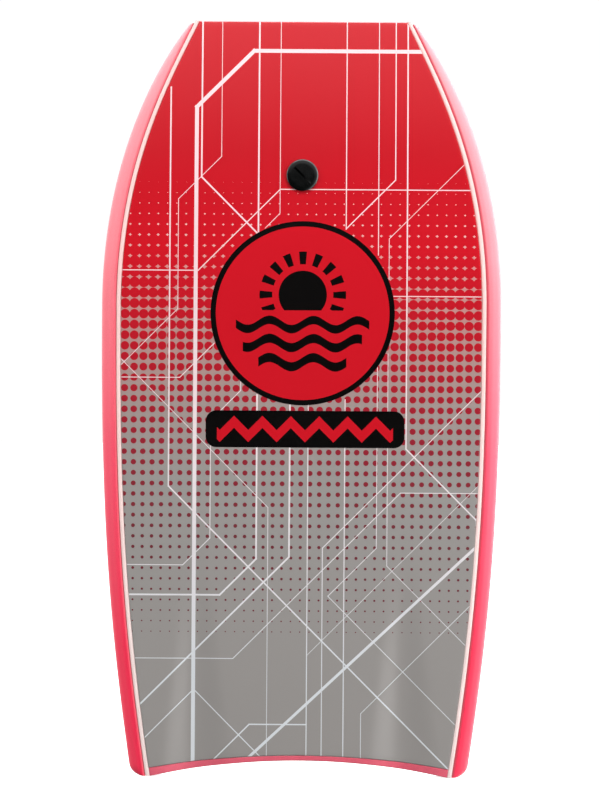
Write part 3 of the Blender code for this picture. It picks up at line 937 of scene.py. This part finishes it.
def thread_tree():
    """Geometry Nodes: a ridge that winds up a stud."""
    tree = bpy.data.node_groups.new("wound ridge", "GeometryNodeTree")
    tree.is_modifier = True
    face = tree.interface
    for name, value in (("Radius", STUD_RADIUS), ("Pitch", THREAD_PITCH), ("Turns", 5.0), ("Foot", 0.0),
                        ("Ridge", THREAD_HEIGHT)):
        face.new_socket(name, in_out="INPUT", socket_type="NodeSocketFloat").default_value = value
    face.new_socket("Finish", in_out="INPUT", socket_type="NodeSocketMaterial")
    face.new_socket("Ridge mesh", in_out="OUTPUT", socket_type="NodeSocketGeometry")
    nodes, links = tree.nodes, tree.links
    inputs = nodes.new("NodeGroupInput").outputs
    spiral = nodes.new("GeometryNodeCurveSpiral")
    spiral.inputs["Resolution"].default_value = 40
    for end in ("Start Radius", "End Radius"):
        links.new(inputs["Radius"], spiral.inputs[end])
    links.new(inputs["Turns"], spiral.inputs["Rotations"])
    height = nodes.new("ShaderNodeMath")
    height.operation = "MULTIPLY"
    links.new(inputs["Pitch"], height.inputs[0])
    links.new(inputs["Turns"], height.inputs[1])
    links.new(height.outputs[0], spiral.inputs["Height"])
    lift = nodes.new("ShaderNodeCombineXYZ")
    links.new(inputs["Foot"], lift.inputs["Z"])
    move = nodes.new("GeometryNodeTransform")
    links.new(spiral.outputs[0], move.inputs["Geometry"])
    links.new(lift.outputs[0], move.inputs["Translation"])
    section = nodes.new("GeometryNodeCurvePrimitiveCircle")
    section.inputs["Resolution"].default_value = 6
    links.new(inputs["Ridge"], section.inputs["Radius"])
    sweep = nodes.new("GeometryNodeCurveToMesh")
    links.new(move.outputs[0], sweep.inputs["Curve"])
    links.new(section.outputs["Curve"], sweep.inputs["Profile Curve"])
    sweep.inputs["Fill Caps"].default_value = True
    real = nodes.new("GeometryNodeRealizeInstances")
    links.new(sweep.outputs[0], real.inputs[0])
    dress = nodes.new("GeometryNodeSetMaterial")
    links.new(real.outputs[0], dress.inputs["Geometry"])
    links.new(inputs["Finish"], dress.inputs["Material"])
    links.new(dress.outputs[0], nodes.new("NodeGroupOutput").inputs[0])
    return tree


def run_tree(name, tree, finish, **values):
    """A plain mesh object from a Geometry Nodes tree, with its inputs set by their names."""
    made = bpy.data.objects.new(name, bpy.data.meshes.new(name))
    made.data.materials.append(finish)
    modifier = made.modifiers.new("grow", "NODES")
    modifier.node_group = tree
    for item in tree.interface.items_tree:
        if item.in_out == "INPUT" and item.name in values:
            modifier[item.identifier] = values[item.name]
        elif item.in_out == "INPUT" and item.name == "Finish":
            modifier[item.identifier] = finish
    bpy.context.scene.collection.objects.link(made)
    return finished(made)


def join(pieces):
    """Joins the pieces' meshes into the first."""
    made = bmesh.new()
    for piece in pieces:
        made.from_mesh(piece.data)
    made.to_mesh(pieces[0].data)
    made.free()
    for piece in pieces[1:]:
        bpy.data.objects.remove(piece)
    shade(pieces[0].data)
    return pieces[0]


def put(piece, where):
    """Moves the piece's own mesh onto the plug's axis."""
    piece.data.transform(where)
    return piece


# ---------------------------------------------------------------- build

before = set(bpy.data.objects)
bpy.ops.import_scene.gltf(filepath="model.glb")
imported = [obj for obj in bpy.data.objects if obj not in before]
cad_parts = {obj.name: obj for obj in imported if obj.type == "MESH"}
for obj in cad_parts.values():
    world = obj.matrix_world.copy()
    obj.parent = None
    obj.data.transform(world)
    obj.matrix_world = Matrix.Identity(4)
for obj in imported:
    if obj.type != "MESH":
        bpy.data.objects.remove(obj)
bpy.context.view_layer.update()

slick_finish = printed_slick()
stripe_whites = [srgb(255, 232, 228), srgb(255, 216, 211), srgb(250, 202, 198)]
# the coral rails grow paler towards the nose as painted top light and sheen
rail_corals_painted_light = [srgb(255, 40, 80), srgb(255, 76, 104), srgb(255, 128, 140), srgb(244, 141, 150)]
white_finish = foam("white foam", stripe_whites, srgb(240, 206, 204), 0.55)
# the coral foam's dark colour is the painted shade in the rail's groove beside the white strip
coral_finish = foam("coral foam", rail_corals_painted_light, srgb(214, 64, 84), 0.5, Sheen_Weight=0.45,
                    Sheen_Roughness=0.35)
red_finish = foam("red foam", [srgb(230, 100, 120)], srgb(216, 86, 106), 0.5)
backing_finish = foam("backing foam", [srgb(240, 236, 232)], srgb(228, 224, 220), 0.6)
deck_finish = deck_foam()
bead_finish = bead_foam()
plastic_finish = moulded_plastic()
rubber_finish = soft_rubber()
steel_finish = drawn_steel()

where = plug_place()


def offset(depth):
    return lambda x, z: slick_y(x, z) + depth


def at(height):
    return lambda x: height


def inside_deck(x, z):
    return deck_y(x, z) - DECK_SKIN


# the plug's own heights
deck_face = -thickness(PLUG_HEIGHT)
face = deck_face - FLANGE_PROUD
cup_floor = face + CUP_DEPTH
seat = face + FLANGE_THICKNESS + GASKET_THICKNESS + 2 * GAP


def plug_hole(profile):
    """A cutter for the plug's hole through a layer."""
    points = [(radius, height, 0.0) for radius, height in profile]
    return put(turned("plug_hole", points, slick_finish, HOLE_SIDES), where)


over = 0.02  # past the layer's faces
barrel_hole = BARREL_RADIUS + BORE_CLEARANCE
through_slick = [(0.0, -over), (barrel_hole, -over), (barrel_hole, over), (0.0, over)]
flange_hole = FLANGE_RADIUS + SEAT_CLEARANCE
cup_hole = CUP_RADIUS + BORE_CLEARANCE
through_deck = [(0.0, face - over), (flange_hole, face - over), (flange_hole, seat), (cup_hole, seat),
                (cup_hole, face + over), (0.0, face + over)]

slick = sheet("slick_skin", slick_finish, print_edge, layer_foot, at(LENGTH - NOSE_STRIP_SHOWS), slick_y,
              offset(SLICK_SHEET), (0.7 * MM, 0.0))
place(cut_out(slick, plug_hole(through_slick)), "board", "slick_sheet", "printed_slick")

deck = sheet("deck_cover", deck_finish, deck_edge, deck_foot, at(LENGTH), inside_deck, deck_y,
             (0.0, 2.2 * MM))
place(cut_out(deck, plug_hole(through_deck)), "board", "deck_skin", "charcoal_foam")

strip = sheet("tail_foam_strip", red_finish, print_edge, tail_edge, tail_strip_top,
              offset(PINSTRIPE_BELOW_SLICK), under_deck_skin, (1.1 * MM, 0.6 * MM), END_STEPS)
place(strip, "board", "tail_strip", "red_foam")

below_backing = SLICK_SHEET + GAP + SLICK_BACKING + GAP
nose = sheet("nose_foam_strip", coral_finish, print_edge, at(LENGTH - NOSE_STRIP), at(LENGTH),
             offset(below_backing), under_deck_skin, (0.5 * MM, 0.5 * MM), END_STEPS)
place(nose, "board", "nose_strip", "coral_foam")


def stripe_ring(z, side):
    inner = print_edge(z) + GAP
    outer = inner + PINSTRIPE
    y = slick_y(0.0, z) + PINSTRIPE_BELOW_SLICK
    corners = [
        (inner, y + PINSTRIPE_INNER_DROP, 0.9 * MM),
        ((inner + outer) / 2, y - PINSTRIPE_CROWN, 2.2 * MM),
        (outer, y + PINSTRIPE_BELOW_SLICK, 1.3 * MM),
        (outer, under_deck_skin(outer, z), 0.5 * MM),
        (inner, under_deck_skin(inner, z), 0.5 * MM),
    ]
    return [(side * p[0], p[1]) for p in rounded_ring(corners)]


def rail_ring(z, side):
    inner = print_edge(z) + PINSTRIPE + 2 * GAP
    outer = half_width(z)
    least = RAIL_LEAST_SHARE * (outer - inner)
    front = slick_y(0.0, z)
    apex = front + RAIL_APEX_SHARE * thickness(z)
    crest = inner + min(RAIL_CREST_IN, least)
    shoulder = max(inner + least, min(deck_edge(z), outer - least))
    lean = min(RAIL_TOP_LEAN, least)
    crest_y = front + RAIL_CREST_DEPTH
    corners = [
        (inner, front + RAIL_SEAM_DEPTH, 0.6 * MM),
        (crest, crest_y, 1.2 * MM),
        *[(crest + (outer - crest) * math.sin(a), apex - (apex - crest_y) * math.cos(a), 3.0 * MM)
          for a in map(math.radians, RAIL_ROUND)],
        (outer + RAIL_ROUNDED_AWAY, apex, 3.0 * MM),
        (outer - lean, (apex + under_deck_skin(outer, z)) / 2, 8.0 * MM),
        (shoulder, under_deck_skin(shoulder, z), 2.5 * MM),
        (inner, under_deck_skin(inner, z), 0.5 * MM),
    ]
    return [(side * p[0], p[1]) for p in rounded_ring(corners)]


for side, word in ((-1, "left"), (1, "right")):
    levels = heights(0.0, LENGTH, RAIL_SECTIONS)
    rings = [(z, stripe_ring(z, side)) for z in levels]
    stripe = loft(f"white_strip_{word}", white_finish, rings, 0.6 * MM)
    place(stripe, "board", f"pinstripe_{word}", "white_foam")
    tip_turns = [math.pi / 2 * i / TIP_STEPS for i in range(TIP_STEPS)]
    levels = [TAIL_CORNER_RADIUS * (1.0 - math.cos(a)) for a in tip_turns]
    clear_of_tip = levels[-1] + 1.5 * MM
    levels += [z for z in heights(0.0, LENGTH - RAIL_ENDS_SHORT, RAIL_SECTIONS) if z > clear_of_tip]
    rings = [(z, rail_ring(z, side)) for z in levels]
    side_rail = loft(f"foam_rail_{word}", coral_finish, rings, 0.5 * MM, RAIL_PAINTED_SHADES)
    place(side_rail, "board", f"rail_{word}", "coral_foam")

# plug cap, with its slot, stud and thread
cap_low = GASKET_THICKNESS + 2 * GAP
stud_end = cup_floor + CUP_FLOOR + STUD_STOPS_SHORT
core_radius = STUD_RADIUS - THREAD_HEIGHT
recess = GASKET_RADIUS + CAP_RECESS_OVER
cap = turned(
    "slotted_cap",
    [
        (0.0, stud_end, 0.0),
        (core_radius, stud_end, 0.8 * MM),
        (core_radius, cap_low, MOULDED_EDGE),
        (recess, cap_low, 0.0),
        (recess, CAP_FOOT, 0.0),
        (CAP_RADIUS, CAP_FOOT, MOULDED_EDGE),
        (CAP_RADIUS, CAP_TOP - CAP_RIM_DROP, 0.5 * MM),
        *[(CAP_RADIUS - inwards, CAP_TOP - down, 1.2 * MM) for inwards, down in CAP_CROWN],
        (0.0, CAP_TOP, 0.0),
    ],
    plastic_finish,
)
cut_out(cap, slot_tool(plastic_finish))
turns_wound = math.floor((-BARREL_STOPS_SHORT - stud_end) / THREAD_PITCH) - 1
ridge = run_tree("stud_thread", thread_tree(), plastic_finish, Radius=core_radius, Pitch=THREAD_PITCH,
                 Turns=float(turns_wound), Foot=stud_end + THREAD_PITCH / 2, Ridge=THREAD_HEIGHT)
put(join([cap, ridge]), where)
place(cap, "cap", "plug_cap", "black_plastic")


def seal(name, inner, outer, low):
    """A flat rubber ring."""
    sides = ((inner, low), (outer, low), (outer, low + GASKET_THICKNESS), (inner, low + GASKET_THICKNESS))
    return put(turned(name, [(*spot, MOULDED_EDGE) for spot in sides], rubber_finish), where)


gasket = seal("cap_seal", STUD_RADIUS + BORE_CLEARANCE, GASKET_RADIUS, GAP)
place(gasket, "gasket", "cap_gasket", "black_rubber")

cup_inner = CUP_RADIUS - CUP_WALL
bore = STUD_RADIUS + STUD_CLEARANCE
barrel_top = -SLICK_SHEET - BARREL_STOPS_SHORT
cup = turned(
    "leash_cup",
    [
        (cup_inner, face, 0.9 * MM),
        (cup_inner, cup_floor, 2.0 * MM),
        (0.0, cup_floor, 0.0),
        (0.0, cup_floor + CUP_FLOOR, 0.0),
        (bore, cup_floor + CUP_FLOOR, 0.0),
        (bore, barrel_top, 0.5 * MM),
        (BARREL_RADIUS, barrel_top, 0.5 * MM),
        (BARREL_RADIUS, cup_floor + CUP_FLOOR, 0.8 * MM),
        (CUP_RADIUS, cup_floor + CUP_FLOOR, 1.5 * MM),
        (CUP_RADIUS, face + FLANGE_THICKNESS, 0.4 * MM),
        (FLANGE_RADIUS, face + FLANGE_THICKNESS, MOULDED_EDGE),
        (FLANGE_RADIUS, face + 0.8 * MM, 0.4 * MM),
        (FLANGE_RADIUS - 1.0 * MM, face, 0.6 * MM),
    ],
    plastic_finish,
)
bar_at = Vector((0.0, 0.0, face + BAR_DEPTH))
bar_length = 2 * (cup_inner + BAR_INTO_WALL)
notch = rod("bar_notch", BAR_RADIUS + BAR_CLEARANCE, bar_length + 2 * BAR_CLEARANCE, bar_at, plastic_finish)
cut_out(cup, notch)
place(put(cup, where), "board", "plug_body", "black_plastic")
bar = rod("cord_bar", BAR_RADIUS, bar_length, bar_at, steel_finish)
place(put(bar, where), "board", "leash_bar", "stainless_steel")

washer = seal("flange_seal", CUP_RADIUS + BORE_CLEARANCE, FLANGE_RADIUS, face + FLANGE_THICKNESS + GAP)
place(washer, "board", "flange_gasket", "black_rubber")

# the two inner layers keep their frame shapes
for node, finish in (("core", bead_finish), ("slick_backing", backing_finish)):
    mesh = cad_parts[node].data
    mesh.materials.clear()
    mesh.materials.append(finish)

# ---------------------------------------------------------------- stage, lights and camera

FLOOR_HALF = 60.0


def floor_finish():
    made, sums, shader, place = new_finish("pale floor", Roughness=0.9, Emission_Strength=0.75,
                                           Emission_Color=(1.0, 1.0, 1.0, 1.0), Specular_IOR_Level=0.0)
    pale, paler = (0.91, 0.91, 0.91, 1.0), (0.93, 0.93, 0.93, 1.0)
    sums.feed(shader.inputs["Base Color"], sums.mix(sums.noise(place, 3.0, 2.0), paler, pale))
    return made


floor_mesh = bpy.data.meshes.new("floor")
floor_corners = [(x * FLOOR_HALF, y * FLOOR_HALF, 0) for x, y in ((-1, -1), (1, -1), (1, 1), (-1, 1))]
floor_mesh.from_pydata(floor_corners, [], [(0, 1, 2, 3)])
floor = new_object("floor", floor_mesh, floor_finish())
floor.visible_diffuse = False
floor.visible_glossy = False

BACKDROP = 1.02
TENT_AT_LENS = 0.02
TENT_BEHIND = 1.0
TENT_LOW = 0.30
TENT_HIGH = 1.7
# white cards over the lens and to its right: where each starts and is full, and how bright it is
CARDS = (("Z", 0.20, 0.44, 1.5), ("X", 0.15, 0.50, 3.2))


def studio():
    """A white tent round the board, darker where the lens looks in and brighter overhead."""
    world = bpy.data.worlds.new("studio")
    world.use_nodes = True
    sums = Sums(world.node_tree)
    background = world.node_tree.nodes["Background"]
    background.inputs["Color"].default_value = (1.0, 1.0, 1.0, 1.0)
    way = sums.split(sums.node("ShaderNodeTexCoord").outputs["Generated"])
    eased = {"interpolation_type": "SMOOTHSTEP"}
    wall = sums.ranged(way["Y"], -0.85, -0.25, TENT_AT_LENS, TENT_BEHIND, **eased)
    tent = sums.do("MULTIPLY", wall, sums.ranged(way["Z"], -0.5, 0.8, TENT_LOW, TENT_HIGH, **eased))
    ray = sums.node("ShaderNodeLightPath")
    for axis, low, high, light in CARDS:  # they only show in the gloss
        card = sums.ranged(way[axis], low, high, 0.0, light)
        tent = sums.do("MULTIPLY_ADD", ray.outputs["Is Glossy Ray"], card, tent)
    seen = ray.outputs["Is Camera Ray"]
    unseen = sums.do("MULTIPLY", sums.do("SUBTRACT", 1.0, seen), tent)
    sums.feed(background.inputs["Strength"], sums.do("ADD", sums.do("MULTIPLY", seen, BACKDROP), unseen))
    return world


bpy.context.scene.world = studio()
bpy.context.scene.view_settings.view_transform = "Standard"


SOFTBOXES = (  # name, place, size and power
    ("top", (0.0, -1.6, 3.2), (2.4, 1.6), 54.0),
    ("left", (-2.6, -1.8, 1.2), (1.2, 2.2), 31.0),
    ("right", (2.6, -1.8, 1.2), (1.2, 2.2), 53.0),
    ("right edge", (2.6, -0.5, 0.5), (0.6, 1.8), 15.0),
    ("back", (0.0, 2.8, 2.2), (2.4, 1.6), 20.0),
)


def softbox(name, spot, size, power):
    """A lamp that faces the middle of the board."""
    light = bpy.data.lights.new(name, "AREA")
    light.shape = "RECTANGLE"
    light.size, light.size_y = size
    light.energy = power
    made = bpy.data.objects.new(name, light)
    made.location = spot
    aim = Vector((0.0, 0.0, LENGTH / 2)) - Vector(spot)
    made.rotation_euler = aim.to_track_quat("-Z", "Y").to_euler()
    bpy.context.scene.collection.objects.link(made)


for name, spot, size, power in SOFTBOXES:
    softbox(f"{name} softbox", spot, size, power)

CAMERA_DISTANCE = 8.0
VIEW_HEIGHT = 1.1268  # of the frame, at the board
CAMERA_AT = (-0.0013, 0.5312)  # across, and its height
CAMERA_ROLL = -0.38
SENSOR = 36.0
camera_data = bpy.data.cameras.new("camera")
camera_data.sensor_width = SENSOR
camera_data.lens = SENSOR * CAMERA_DISTANCE / VIEW_HEIGHT
camera = bpy.data.objects.new("camera", camera_data)
camera.location = (CAMERA_AT[0], BACK_OF_SLICK - CAMERA_DISTANCE, CAMERA_AT[1])
camera.rotation_euler = (math.radians(90), math.radians(CAMERA_ROLL), 0.0)
bpy.context.scene.collection.objects.link(camera)
bpy.context.scene.camera = camera
